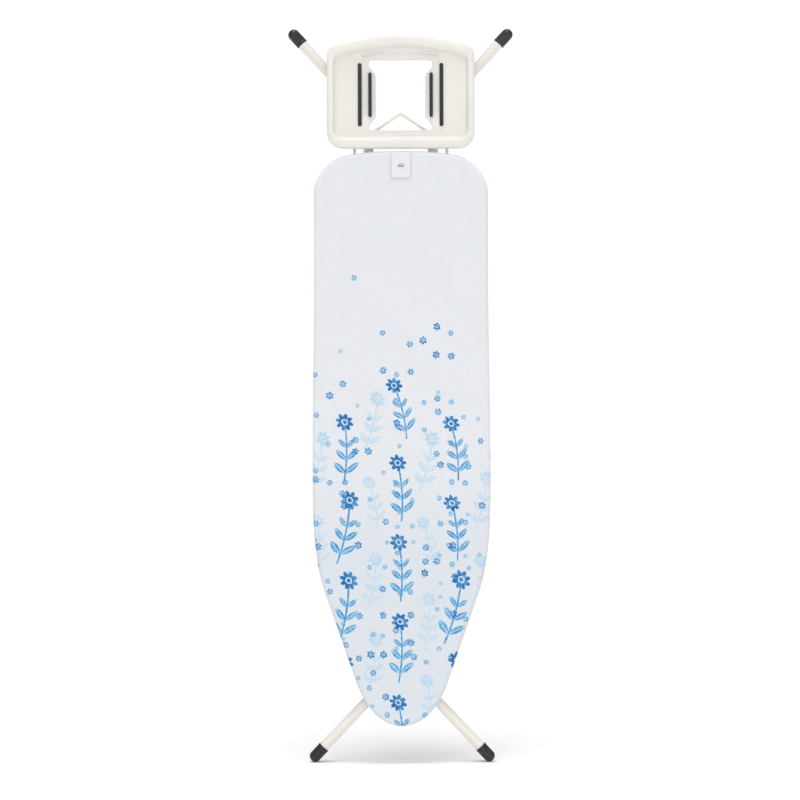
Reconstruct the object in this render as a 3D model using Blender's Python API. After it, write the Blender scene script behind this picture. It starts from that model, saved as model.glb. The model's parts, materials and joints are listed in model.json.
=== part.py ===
"""Folding ironing board, 124 x 38 cm, folded flat and standing on its nose end.

Metres, +Z up, X across the board, the ironing face looks to -Y, the legs lie behind it.
The origin is on the floor, under the middle of the folded board. Depths are measured
from the front of the iron rest's rim towards the legs: y = depth - FRONT_TO_MIDDLE.
"""
from math import cos, pi, radians, sin, sqrt

import bmesh
import bpy
from mathutils import Matrix, Vector

# ---- Driving dimensions -------------------------------------------------------------
GAP = 0.0003                    # between pieces that touch
TOTAL_HEIGHT = 1.58914          # floor to the tips of the upper feet
FRONT_TO_MIDDLE = 0.028         # half of the folded depth

BOARD_LENGTH = 1.240
BOARD_HALF_WIDTH = 0.192
BOARD_NOSE_Z = 0.0815

# Depths of the layers, front to back
COVER_FRONT = 0.0010
COVER_THICKNESS = 0.0017
COVER_BACK = 0.0233
HEM_WIDTH = 0.026
FOAM_FRONT = COVER_FRONT + COVER_THICKNESS + GAP
FOAM_THICKNESS = 0.0050
SHEET_FRONT = FOAM_FRONT + FOAM_THICKNESS + GAP
SHEET_THICKNESS = 0.0008
DECK_BACK = SHEET_FRONT + SHEET_THICKNESS + GAP     # everything under the deck starts here
RIM_BACK = COVER_BACK - COVER_THICKNESS - GAP
WIRE_DEPTH = 0.0275
LEG_DEPTH = 0.0430

# Iron rest
TRAY_HALF_WIDTH = 0.1590
TRAY_BOTTOM_Z = 1.3268
TRAY_TOP_Z = 1.5725
TRAY_TOP_RADIUS = 0.470
TRAY_TOP_CORNER = 0.026
TRAY_BOTTOM_CORNER = 0.034
PAN_DEPTH = 0.0120
PAN_THICKNESS = 0.0022
PAN_INSET = 0.0205
RIM_TOP_SHARE = 1.70             # the rim is broader along its top and bottom
RIM_BOTTOM_SHARE = 1.45
WINDOW_BOTTOM_Z = 1.3670
WINDOW_TOP_Z = 1.5180
WINDOW_WIDE = 0.068
WINDOW_NARROW = 0.053
STRIP_HEIGHT = 0.0030
STRIPS = {"outer": (0.088, 0.0089, 0.136), "inner": (0.066, 0.0076, 0.096)}
STRIP_MIDDLE_Z = 1.443

# Wire frame of the iron rest
WIRE_RADIUS = 0.00325
WIRE_X = 0.100
WIRE_BOTTOM_Z = 1.200
WIRE_TOP_Z = 1.532
BRACE_APEX_Z = 1.405
BRACE_FOOT_Z = 1.3426

# Legs: equal scissor, both 1135.1 mm from end pin to foot
TUBE_RADIUS = 0.011
TUBE_WALL = 0.0012
LEG_LENGTH = 1.1351
HINGE_SHARE = 0.3               # share of the leg between its end pin and the pivot
HINGE_Z = TOTAL_HEIGHT - LEG_LENGTH
PIVOT_Z = HINGE_Z + HINGE_SHARE * LEG_LENGTH
SLIDE_Z = LEG_LENGTH
FOLD_LIMIT = radians(55)
OUTER_X = 0.0684
INNER_X = 0.0440
OUTER_BEND_Z = 1.399
INNER_BEND_Z = 0.1650
OUTER_BEND_RADIUS = 0.258
OUTER_CROSS_Z = 1.346
INNER_CROSS_Z = 0.300
CROSS_RADIUS = 0.009
INNER_BEND_RADIUS = 0.080
OUTER_FOOT_X = 0.2310
INNER_FOOT_X = 0.1885
FOOT_RADIUS = 0.0125
FOOT_MOUTH_RADIUS = 0.0130
FOOT_LENGTH = 0.040
TUBE_END = 0.014                # tube beyond its end pin
PIN_RADIUS = 0.0040
SLIDE_RADIUS = 0.0050

# Height lock under the deck
RAIL_X = 0.020
RAIL_WALL = 0.002
RAIL_BACK = 0.052
RAIL_BOTTOM_Z = 0.815
RAIL_TOP_Z = 1.176
SLOT_HALF = SLIDE_RADIUS + 0.0005
RACK_FRONT = 0.0203
RACK_HALF_WIDTH = 0.008
RACK_NOTCH_FLOOR = 0.0295
RACK_TOOTH_TOP = 0.0365
HEIGHT_ANGLES = (55, 50, 44, 38, 32)    # leg angles of the five working heights
LEVER_Z = 1.195
LEVER_DEPTH = 0.017
LEVER_RADIUS = 0.003
HOOK_Z = 1.162
HOOK_DEPTH = 0.030
HOOK_SWING = radians(130)
HOOK_X = 0.011
HOOK_THICKNESS = 0.003

Y_AXIS = Vector((0, 1, 0))


# ---- Scene, materials and objects ---------------------------------------------------
def clear_scene():
    for thing in list(bpy.data.objects):
        bpy.data.objects.remove(thing, do_unlink=True)


def at(x, depth, z):
    return Vector((x, depth - FRONT_TO_MIDDLE, z))


def material(name, colour, roughness, metallic=0.0):
    made = bpy.data.materials.new(name)
    made.use_nodes = True
    shader = made.node_tree.nodes["Principled BSDF"]
    shader.inputs["Base Color"].default_value = (*colour, 1.0)
    shader.inputs["Roughness"].default_value = roughness
    shader.inputs["Metallic"].default_value = metallic
    return made


FINISHES = {
    "cotton": ((0.80, 0.82, 0.85), 0.90),
    "foam": ((0.75, 0.74, 0.70), 0.95),
    "label": ((0.88, 0.88, 0.90), 0.70),
    "deck_steel": ((0.62, 0.62, 0.61), 0.45, 0.6),
    "ivory_coat": ((0.84, 0.81, 0.76), 0.40),
    "ivory_plastic": ((0.82, 0.79, 0.74), 0.45),
    "silicone": ((0.04, 0.04, 0.038), 0.60),
    "foot_plastic": ((0.045, 0.05, 0.06), 0.55),
    "zinc": ((0.60, 0.61, 0.62), 0.35, 1.0),
    "nylon": ((0.70, 0.70, 0.68), 0.50),
    "lever_plastic": ((0.08, 0.09, 0.10), 0.50),
}


def pivot_empty(name, place):
    axis = bpy.data.objects.new(name, None)
    axis.location = place
    bpy.context.collection.objects.link(axis)
    return axis


def make_object(name, shape, finish, axis=None):
    """Turn a bmesh in world coordinates into a closed object, hung on its joint's empty."""
    bmesh.ops.recalc_face_normals(shape, faces=shape.faces)
    if axis is not None:
        bmesh.ops.translate(shape, verts=shape.verts, vec=-axis.location)
    mesh = bpy.data.meshes.new(name)
    shape.to_mesh(mesh)
    shape.free()
    mesh.shade_smooth()
    mesh.set_sharp_from_angle(angle=radians(35))
    made = bpy.data.objects.new(name, mesh)
    made.parent = axis
    bpy.context.collection.objects.link(made)
    own_finish = material(name, *FINISHES[finish])
    made.data.materials.append(own_finish)
    return made


def cut(target, name, shape):
    """Cut a hidden shape out of an object."""
    bmesh.ops.recalc_face_normals(shape, faces=shape.faces)
    mesh = bpy.data.meshes.new(name)
    shape.to_mesh(mesh)
    shape.free()
    cutter = bpy.data.objects.new(name, mesh)
    cutter.hide_render = True
    cutter.display_type = "WIRE"
    bpy.context.collection.objects.link(cutter)
    modifier = target.modifiers.new(name, "BOOLEAN")
    modifier.operation = "DIFFERENCE"
    modifier.solver = "EXACT"
    modifier.object = cutter


# ---- Shape builders -----------------------------------------------------------------
def loft(rings, closed=False):
    """Join rings of equal length. Closed joins the last to the first, else both are capped."""
    shape = bmesh.new()
    made = [[shape.verts.new(point) for point in ring] for ring in rings]
    count = len(made[0])
    pairs = list(zip(made, made[1:]))
    if closed:
        pairs.append((made[-1], made[0]))
    for ring, following in pairs:
        for i in range(count):
            j = (i + 1) % count
            shape.faces.new((ring[i], ring[j], following[j], following[i]))
    if not closed:
        shape.faces.new(made[0])
        shape.faces.new(made[-1])
    return shape


def rod_rings(path, radius, sides):
    """Circles along a path that stays at one depth."""
    rings = []
    for i, point in enumerate(path):
        along = (path[min(i + 1, len(path) - 1)] - path[max(i - 1, 0)]).normalized()
        across = Y_AXIS.cross(along)
        turns = [2 * pi * k / sides for k in range(sides)]
        rings.append([point + radius * (cos(a) * across + sin(a) * Y_AXIS) for a in turns])
    return rings


def rod(path, radius, sides=10):
    return loft(rod_rings(path, radius, sides))


def tube(path, radius, wall, sides=16):
    """An open-ended tube: the outer skin forward, then the bore back."""
    outside = rod_rings(path, radius, sides)
    inside = rod_rings(path, radius - wall, sides)
    return loft(outside + inside[::-1], closed=True)


def bent_path(corners, bend_radius, depth, steps=6):
    """Points (x, z) of a bent rod, each inner corner turned into an arc."""
    flat = [Vector(corner) for corner in corners]
    points = [flat[0]]
    for before, corner, after in zip(flat, flat[1:], flat[2:]):
        coming = (corner - before).normalized()
        going = (after - corner).normalized()
        turn = coming.angle_signed(going)
        setback = bend_radius * abs(sin(turn / 2) / cos(turn / 2))
        centre = corner + (going - coming).normalized() * bend_radius / cos(turn / 2)
        start = corner - coming * setback
        for k in range(steps + 1):
            swing = Matrix.Rotation(-turn * k / steps, 2)
            points.append(centre + swing @ (start - centre))
    points.append(flat[-1])
    return [at(point.x, depth, point.y) for point in points]


def turned(start, direction, profile, sides=16, closed=False):
    """A turned piece. The profile holds (distance along, radius); radius 0 is a pole."""
    direction = direction.normalized()
    helper = Vector((0, 0, 1)) if abs(direction.z) < 0.9 else Vector((1, 0, 0))
    across = direction.cross(helper).normalized()
    beyond = direction.cross(across)
    shape = bmesh.new()
    rings = []
    for along, radius in profile:
        middle = start + direction * along
        if radius == 0:
            rings.append([shape.verts.new(middle)] * sides)
            continue
        turns = [2 * pi * k / sides for k in range(sides)]
        rings.append([shape.verts.new(middle + radius * (cos(a) * across + sin(a) * beyond))
                      for a in turns])
    pairs = list(zip(rings, rings[1:]))
    if closed:
        pairs.append((rings[-1], rings[0]))
    for ring, following in pairs:
        for i in range(sides):
            j = (i + 1) % sides
            corners = dict.fromkeys((ring[i], ring[j], following[j], following[i]))
            shape.faces.new(tuple(corners))
    return shape


def prism(axis, outline, low, high):
    """Extrude an outline of pairs: (z, depth) along X, (x, z) along Y or (x, depth) along Z."""
    places = {
        "X": lambda a, b, along: at(along, b, a),
        "Y": lambda a, b, along: at(a, along, b),
        "Z": lambda a, b, along: at(a, b, along),
    }
    place = places[axis]
    return loft([[place(a, b, along) for a, b in outline] for along in (low, high)])


def rectangle(low_a, low_b, high_a, high_b):
    return [(low_a, low_b), (high_a, low_b), (high_a, high_b), (low_a, high_b)]


def arc(centre_x, centre_z, radius, first, last, steps):
    """Points of an arc; the angles are in degrees from +X towards +Z."""
    turns = [radians(first + (last - first) * k / steps) for k in range(steps + 1)]
    return [(centre_x + radius * cos(a), centre_z + radius * sin(a)) for a in turns]


# ---- Board outline ------------------------------------------------------------------
# Right half of the board as Bezier stretches: (half width, distance from the nose tip)
NOSE = ((0, 0), (0.050, 0), (0.0800, 0.0474), (0.0960, 0.0874))
SHOULDER = ((0.1680, 0.2944), (0.1866, 0.3544), (BOARD_HALF_WIDTH, 0.42), (BOARD_HALF_WIDTH, 0.53))
FLANK = ((BOARD_HALF_WIDTH, 0.53), (BOARD_HALF_WIDTH, 0.72), (0.1877, 0.80), (0.1877, 0.98))
CORNER = ((0.1877, 1.150), (0.1877, 1.188), (0.155, 1.220), (0.124, 1.2295))
TOP_EDGE = ((0.124, 1.2295), (0.090, 1.2365), (0.045, BOARD_LENGTH), (0, BOARD_LENGTH))


def bezier(controls, steps, skip_first=False):
    a, b, c, d = [Vector(control) for control in controls]
    points = []
    for k in range(1 if skip_first else 0, steps + 1):
        t = k / steps
        u = 1 - t
        points.append(u**3 * a + 3 * u * u * t * b + 3 * u * t * t * c + t**3 * d)
    return points


def board_outline():
    """The whole outline as (x, z), counterclockwise from the nose tip."""
    right = bezier(NOSE, 7)
    right += bezier(SHOULDER, 5)
    right += bezier(FLANK, 3, skip_first=True)
    right += bezier(CORNER, 6)
    right += bezier(TOP_EDGE, 3, skip_first=True)
    left = [Vector((-point.x, point.y)) for point in reversed(right[1:-1])]
    return [Vector((point.x, BOARD_NOSE_Z + point.y)) for point in right + left]


def inset(outline, distance):
    """Move every side of a counterclockwise outline inwards."""
    moved = []
    count = len(outline)
    for i, point in enumerate(outline):
        before = (point - outline[i - 1]).normalized()
        after = (outline[(i + 1) % count] - point).normalized()
        inward = Vector((-before.y - after.y, before.x + after.x)).normalized()
        half_turn = max(inward.dot(Vector((-after.y, after.x))), 0.5)
        moved.append(point + inward * distance / half_turn)
    return moved


def board_ring(distance, depth):
    return [at(point.x, depth, point.y) for point in inset(board_outline(), distance)]


# ---- Deck ---------------------------------------------------------------------------
def half_width_at(z):
    """Half of the board's width at a height."""
    right = [point for point in board_outline() if point.x > 0]
    for low, high in zip(right, right[1:]):
        if low.y <= z <= high.y:
            return low.x + (high.x - low.x) * (z - low.y) / (high.y - low.y)
    return BOARD_HALF_WIDTH


def deck_plates():
    edge = COVER_THICKNESS + 0.0005
    sheet_back = SHEET_FRONT + SHEET_THICKNESS
    make_object("deck_sheet", loft([board_ring(edge, SHEET_FRONT), board_ring(edge, sheet_back)]),
                "deck_steel")
    foam_back = FOAM_FRONT + FOAM_THICKNESS
    foam = loft([board_ring(edge, FOAM_FRONT), board_ring(edge, foam_back)])
    make_object("foam_pad", foam, "foam")
    wall = 0.0012
    flange = 0.012
    section = [
        (edge, DECK_BACK), (edge, RIM_BACK), (edge + flange, RIM_BACK),
        (edge + flange, RIM_BACK - wall), (edge + wall, RIM_BACK - wall),
        (edge + wall, DECK_BACK + wall), (edge + flange, DECK_BACK + wall),
        (edge + flange, DECK_BACK),
    ]
    rim = loft([board_ring(*corner) for corner in section], closed=True)
    make_object("deck_rim", rim, "ivory_coat")


def cover():
    """The cotton cover: front sheet, wrapped edge and the hem gathered behind the rim."""
    inner = COVER_THICKNESS
    section = [
        (0.0060, COVER_FRONT), (0.0015, COVER_FRONT + 0.0012), (0, COVER_FRONT + 0.0050),
        (0, COVER_BACK - 0.0030), (0.0020, COVER_BACK), (HEM_WIDTH, COVER_BACK),
        (HEM_WIDTH, COVER_BACK - inner), (inner, COVER_BACK - inner),
        (inner, COVER_FRONT + inner),
    ]
    make_object("ironing_cover", loft([board_ring(*corner) for corner in section]), "cotton")


def care_label():
    width, height = 0.042, 0.056
    top = BOARD_NOSE_Z + BOARD_LENGTH - 0.003
    outline = rectangle(-width / 2, top - height, width / 2, top)
    make_object("care_label", prism("Y", outline, 0.0003, 0.0007), "label")


def cross_braces():
    """Shallow channels welded across the back of the deck."""
    half, deep, wall = 0.016, 0.0042, 0.0012
    back = DECK_BACK + deep
    for name, z in (("top", LEVER_Z), ("middle", 0.797), ("nose", 0.400)):
        reach = half_width_at(z) - 0.028
        section = [
            (z - half, DECK_BACK), (z - half, back), (z + half, back), (z + half, DECK_BACK),
            (z + half - wall, DECK_BACK), (z + half - wall, back - wall),
            (z - half + wall, back - wall), (z - half + wall, DECK_BACK),
        ]
        make_object(f"cross_brace_{name}", prism("X", section, -reach, reach), "ivory_coat")


def hinge_mounts():
    """The two U brackets that carry the outer leg, each with a headed pin."""
    inner_wall = (INNER_X + TUBE_RADIUS + 0.0004, OUTER_X - TUBE_RADIUS - 0.0004)
    outer_wall = (OUTER_X + TUBE_RADIUS + 0.0004, OUTER_X + TUBE_RADIUS + 0.0029)
    floor = DECK_BACK + 0.002
    back = LEG_DEPTH + 0.008
    for side, name in ((-1, "left"), (1, "right")):
        section = [
            (inner_wall[0], DECK_BACK), (outer_wall[1], DECK_BACK), (outer_wall[1], back),
            (outer_wall[0], back), (outer_wall[0], floor), (inner_wall[1], floor),
            (inner_wall[1], back), (inner_wall[0], back),
        ]
        section = [(side * x, depth) for x, depth in section]
        bracket = make_object(f"hinge_bracket_{name}",
                              prism("Z", section, HINGE_Z - 0.0165, HINGE_Z + 0.0165), "zinc")
        middle = at(side * inner_wall[0], LEG_DEPTH, HINGE_Z)
        out = Vector((side, 0, 0))
        length = outer_wall[1] - inner_wall[0] + GAP
        bore = [(-0.01, 0), (-0.01, PIN_RADIUS + GAP), (length + 0.01, PIN_RADIUS + GAP),
                (length + 0.01, 0)]
        cut(bracket, f"hinge_bore_{name}", turned(middle, out, bore))
        head = 0.007
        pin = [(0.0001, 0), (0.0001, PIN_RADIUS), (length, PIN_RADIUS), (length, head),
               (length + 0.0022, head), (length + 0.003, head - 0.001), (length + 0.003, 0)]
        make_object(f"hinge_pin_{name}", turned(middle, out, pin), "zinc")


# ---- Iron rest ----------------------------------------------------------------------
def tray_outline(distance):
    """Outline of the iron rest moved inwards: an arched top, four round corners."""
    side = TRAY_HALF_WIDTH - distance
    arch_z = TRAY_TOP_Z - TRAY_TOP_RADIUS
    arch_radius = TRAY_TOP_RADIUS - distance * RIM_TOP_SHARE
    high_radius = TRAY_TOP_CORNER - distance * 0.75
    low_radius = TRAY_BOTTOM_CORNER - distance
    corner_x = side - high_radius
    corner_z = arch_z + sqrt((arch_radius - high_radius) ** 2 - corner_x**2)
    arch_half = 90 - 180 / pi * Vector((corner_z - arch_z, corner_x)).angle(Vector((1, 0)))
    low_x = side - low_radius
    low_z = TRAY_BOTTOM_Z + distance * RIM_BOTTOM_SHARE + low_radius
    points = arc(low_x, low_z, low_radius, -90, 0, 4)
    points += arc(corner_x, corner_z, high_radius, 0, arch_half, 4)
    points += arc(0, arch_z, arch_radius, arch_half, 180 - arch_half, 6)[1:-1]
    points += arc(-corner_x, corner_z, high_radius, 180 - arch_half, 180, 4)
    points += arc(-low_x, low_z, low_radius, 180, 270, 4)
    return points


def window_outline():
    """The window: wide at both ends, with chamfers to the narrow waist."""
    low_step, high_step = 1.384, 1.495
    slope = WINDOW_WIDE - WINDOW_NARROW
    right = [(WINDOW_WIDE, WINDOW_BOTTOM_Z), (WINDOW_WIDE, low_step - slope / 2),
             (WINDOW_NARROW, low_step + slope / 2), (WINDOW_NARROW, high_step - slope / 2),
             (WINDOW_WIDE, high_step + slope / 2), (WINDOW_WIDE, WINDOW_TOP_Z)]
    return right + [(-x, z) for x, z in reversed(right)]


def iron_rest():
    back = PAN_DEPTH + PAN_THICKNESS
    section = [
        (PAN_INSET, PAN_DEPTH), (0.0178, 0.010), (0.0160, 0.0022), (0.0133, 0), (0.0045, 0),
        (0.0013, 0.0018), (0, 0.006), (0, 0.020), (0.0023, 0.020), (0.0023, 0.006),
        (0.0045, 0.0024), (0.0124, 0.0024), (0.0140, 0.004), (0.0158, 0.0125), (PAN_INSET, back),
    ]
    rings = [[at(x, depth, z) for x, z in tray_outline(distance)] for distance, depth in section]
    tray = make_object("iron_rest_tray", loft(rings), "ivory_plastic")
    cut(tray, "window_cutter", prism("Y", window_outline(), 0.004, 0.030))
    for side, side_name in ((-1, "left"), (1, "right")):
        for place, (x, width, length) in STRIPS.items():
            half = length / 2 - width / 2
            outline = arc(side * x, STRIP_MIDDLE_Z + half, width / 2, 0, 180, 6)
            outline += arc(side * x, STRIP_MIDDLE_Z - half, width / 2, 180, 360, 6)
            strip = prism("Y", outline, PAN_DEPTH - GAP - STRIP_HEIGHT, PAN_DEPTH - GAP)
            make_object(f"silicone_strip_{place}_{side_name}", strip, "silicone")


def wire_frame():
    """The bent wire that carries the iron rest, and the welded chevron brace."""
    corners = [(-WIRE_X, WIRE_BOTTOM_Z), (-WIRE_X, WIRE_TOP_Z), (WIRE_X, WIRE_TOP_Z),
               (WIRE_X, WIRE_BOTTOM_Z)]
    make_object("rest_wire_frame", rod(bent_path(corners, 0.025, WIRE_DEPTH), WIRE_RADIUS),
                "ivory_coat")
    foot_x = WIRE_X - WIRE_RADIUS - 0.0032
    corners = [(-foot_x, BRACE_FOOT_Z), (0, BRACE_APEX_Z), (foot_x, BRACE_FOOT_Z)]
    make_object("rest_wire_brace", rod(bent_path(corners, 0.006, WIRE_DEPTH, 3), 0.003),
                "ivory_coat")


def wire_bore(x, low, high):
    radius = WIRE_RADIUS + GAP
    profile = [(-0.01, 0), (-0.01, radius), (high - low + 0.01, radius), (high - low + 0.01, 0)]
    return turned(at(x, WIRE_DEPTH, low), Vector((0, 0, 1)), profile, 12)


def wire_fasteners():
    """Clips between the wire and the rest, clamps between the wire and the deck."""
    half = 0.008
    back = WIRE_DEPTH + 0.0055
    for side, side_name in ((-1, "left"), (1, "right")):
        x = side * WIRE_X
        for level, z in (("lower", 1.360), ("upper", 1.498)):
            name = f"rest_clip_{level}_{side_name}"
            front = PAN_DEPTH + PAN_THICKNESS + GAP
            clip = prism("Z", rectangle(x - half, front, x + half, back), z - 0.009, z + 0.009)
            block = make_object(name, clip, "ivory_plastic")
            cut(block, f"{name}_bore", wire_bore(x, z - 0.009, z + 0.009))
        low, high = 1.216, 1.274
        foot, foot_back = 0.020, DECK_BACK + 0.003
        section = [(x - foot, DECK_BACK), (x + foot, DECK_BACK), (x + foot, foot_back),
                   (x + half, foot_back), (x + half, back), (x - half, back),
                   (x - half, foot_back), (x - foot, foot_back)]
        clamp = make_object(f"wire_clamp_{side_name}", prism("Z", section, low, high), "zinc")
        cut(clamp, f"clamp_bore_{side_name}", wire_bore(x, low, high))
        for place, offset in (("inner", -0.014), ("outer", 0.014)):
            middle = at(x + side * offset, DECK_BACK, (low + high) / 2)
            bore = [(-0.01, 0), (-0.01, 0.0022), (0.01, 0.0022), (0.01, 0)]
            cut(clamp, f"screw_bore_{place}_{side_name}", turned(middle, Y_AXIS, bore, 10))
            seat = 0.003 + GAP
            screw = [(GAP, 0), (GAP, 0.0018), (seat, 0.0018), (seat, 0.0042),
                     (seat + 0.0012, 0.0042), (seat + 0.0024, 0.0026), (seat + 0.0026, 0)]
            make_object(f"clamp_screw_{place}_{side_name}", turned(middle, Y_AXIS, screw, 10),
                        "zinc")


# ---- Legs ---------------------------------------------------------------------------
def leg_bore(x, z, radius):
    """A hole across a tube, through both of its walls."""
    reach = TUBE_RADIUS + 0.002
    profile = [(0, 0), (0, radius), (2 * reach, radius), (2 * reach, 0)]
    return turned(at(x - reach, LEG_DEPTH, z), Vector((1, 0, 0)), profile, 12)


def foot_cap(name, bend, foot, axis):
    """A plastic cap pushed over the end of a leg, with a domed tip."""
    along = Vector((foot[0] - bend[0], 0, foot[1] - bend[1])).normalized()
    dome = [(FOOT_RADIUS * sin(pi / 8 * k), FOOT_RADIUS * cos(pi / 8 * k)) for k in range(4)]
    bore = TUBE_RADIUS + GAP
    mouth = FOOT_RADIUS - FOOT_LENGTH
    profile = [(0, 0), (0, bore), (mouth, bore), (mouth, FOOT_MOUTH_RADIUS), *dome,
               (FOOT_RADIUS, 0)]
    make_object(name, turned(at(foot[0], LEG_DEPTH, foot[1]), along, profile), "foot_plastic",
                axis)


def leg_tube(name, x, start_z, bend_z, bend_radius, foot, axis):
    """One side of a leg: straight, then bent outwards to its foot."""
    bend = Vector((x, bend_z))
    out = (Vector(foot) - bend).normalized()
    end = Vector(foot) - out * 0.0005
    path = bent_path([(x, start_z), bend, end], bend_radius, LEG_DEPTH)
    return make_object(name, tube(path, TUBE_RADIUS, TUBE_WALL), "ivory_coat", axis)


def outer_spread(z):
    """How far the middle of an outer tube lies from the board's middle, within its bend."""
    slope = (OUTER_FOOT_X - OUTER_X) / (TOTAL_HEIGHT - FOOT_RADIUS - OUTER_BEND_Z)
    half_turn = Vector((1, slope)).angle(Vector((1, 0))) / 2
    start = OUTER_BEND_Z - OUTER_BEND_RADIUS * sin(half_turn) / cos(half_turn)
    rise = max(z - start, 0.0)
    return OUTER_X + OUTER_BEND_RADIUS - sqrt(OUTER_BEND_RADIUS**2 - rise**2)


def outer_leg(axis):
    """The wide leg: hinged near the nose end, its feet stand out beside the iron rest."""
    for side, name in ((-1, "left"), (1, "right")):
        x = side * OUTER_X
        foot = (side * OUTER_FOOT_X, TOTAL_HEIGHT - FOOT_RADIUS)
        made = leg_tube(f"outer_leg_tube_{name}", x, HINGE_Z - TUBE_END, OUTER_BEND_Z,
                        OUTER_BEND_RADIUS, foot, axis)
        cut(made, f"outer_hinge_bore_{name}", leg_bore(x, HINGE_Z, PIN_RADIUS + GAP))
        cut(made, f"outer_pivot_bore_{name}", leg_bore(x, PIVOT_Z, PIN_RADIUS + GAP))
        foot_cap(f"outer_foot_cap_{name}", (x, OUTER_BEND_Z), foot, axis)
        inner_face = INNER_X - TUBE_RADIUS - GAP
        outer_face = OUTER_X + TUBE_RADIUS + GAP
        head, thick = 0.007, 0.0024
        length = outer_face - inner_face
        rivet = [(-thick, 0), (-thick, head - 0.001), (-thick + 0.001, head), (0, head),
                 (0, PIN_RADIUS), (length, PIN_RADIUS), (length, head),
                 (length + thick - 0.001, head), (length + thick, head - 0.001),
                 (length + thick, 0)]
        out = Vector((side, 0, 0))
        middle = at(side * inner_face, LEG_DEPTH, PIVOT_Z)
        make_object(f"pivot_rivet_{name}", turned(middle, out, rivet, 12), "zinc", axis)
        gap_middle = (INNER_X + OUTER_X) / 2
        thin, bore = 0.0009, PIN_RADIUS + GAP
        washer = [(-thin, bore), (-thin, 0.0105), (thin, 0.0105), (thin, bore)]
        middle = at(side * gap_middle, LEG_DEPTH, PIVOT_Z)
        make_object(f"pivot_washer_{name}", turned(middle, out, washer, 16, closed=True),
                    "nylon", axis)
    reach = outer_spread(OUTER_CROSS_Z - CROSS_RADIUS) - TUBE_RADIUS - 0.0004
    path = [at(-reach, LEG_DEPTH, OUTER_CROSS_Z), at(reach, LEG_DEPTH, OUTER_CROSS_Z)]
    make_object("outer_leg_cross_tube", tube(path, CROSS_RADIUS, TUBE_WALL), "ivory_coat", axis)


def inner_leg(axis):
    """The narrow leg: its top rod slides in the rails, its feet are below the nose."""
    for side, name in ((-1, "left"), (1, "right")):
        x = side * INNER_X
        foot = (side * INNER_FOOT_X, FOOT_RADIUS)
        made = leg_tube(f"inner_leg_tube_{name}", x, SLIDE_Z + TUBE_END, INNER_BEND_Z,
                        INNER_BEND_RADIUS, foot, axis)
        cut(made, f"inner_slide_bore_{name}", leg_bore(x, SLIDE_Z, SLIDE_RADIUS + GAP))
        cut(made, f"inner_pivot_bore_{name}", leg_bore(x, PIVOT_Z, PIN_RADIUS + GAP))
        foot_cap(f"inner_foot_cap_{name}", (x, INNER_BEND_Z), foot, axis)
        low, high = RAIL_X + RAIL_WALL + 0.0006, INNER_X - TUBE_RADIUS - GAP
        bore = SLIDE_RADIUS + GAP
        spacer = [(low, bore), (low, 0.008), (high, 0.008), (high, bore)]
        make_object(f"slide_spacer_{name}",
                    turned(at(0, LEG_DEPTH, SLIDE_Z), Vector((side, 0, 0)), spacer, 14, closed=True),
                    "nylon", axis)
    reach = INNER_X - TUBE_RADIUS - GAP
    path = [at(-reach, LEG_DEPTH, INNER_CROSS_Z), at(reach, LEG_DEPTH, INNER_CROSS_Z)]
    make_object("inner_leg_cross_tube", tube(path, CROSS_RADIUS, TUBE_WALL), "ivory_coat", axis)
    reach = INNER_X + TUBE_RADIUS + 0.0003
    path = [at(-reach, LEG_DEPTH, SLIDE_Z), at(reach, LEG_DEPTH, SLIDE_Z)]
    make_object("slide_bar", rod(path, SLIDE_RADIUS, 12), "zinc", axis)


# ---- Height lock and transport lock -------------------------------------------------
def lowest_slide_z():
    return HINGE_Z + 2 * (PIVOT_Z - HINGE_Z) * cos(FOLD_LIMIT)


def slot_outline():
    """The rails' slot as (z, depth), round at both ends."""
    low, high = lowest_slide_z(), SLIDE_Z
    top = [(high + SLOT_HALF * cos(a), LEG_DEPTH + SLOT_HALF * sin(a))
           for a in (-pi / 2, -pi / 4, 0, pi / 4, pi / 2)]
    bottom = [(low - SLOT_HALF * cos(a), LEG_DEPTH + SLOT_HALF * sin(a))
              for a in (pi / 2, pi / 4, 0, -pi / 4, -pi / 2)]
    return top + bottom


def guide_rails():
    foot = 0.032
    for side, name in ((-1, "left"), (1, "right")):
        section = [(RAIL_X, DECK_BACK), (foot, DECK_BACK), (foot, DECK_BACK + RAIL_WALL),
                   (RAIL_X + RAIL_WALL, DECK_BACK + RAIL_WALL), (RAIL_X + RAIL_WALL, RAIL_BACK),
                   (RAIL_X, RAIL_BACK)]
        section = [(side * x, depth) for x, depth in section]
        rail = make_object(f"guide_rail_{name}", prism("Z", section, RAIL_BOTTOM_Z, RAIL_TOP_Z),
                           "zinc")
        ends = sorted((side * (RAIL_X - 0.005), side * (RAIL_X + 0.010)))
        cut(rail, f"slot_{name}", prism("X", slot_outline(), *ends))
        if side == 1:
            start = at(RAIL_X - 0.005, HOOK_DEPTH, HOOK_Z)
            bore = [(0, 0), (0, 0.0033), (0.012, 0.0033), (0.012, 0)]
            cut(rail, "hook_bore_rail", turned(start, Vector((1, 0, 0)), bore, 12))


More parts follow.
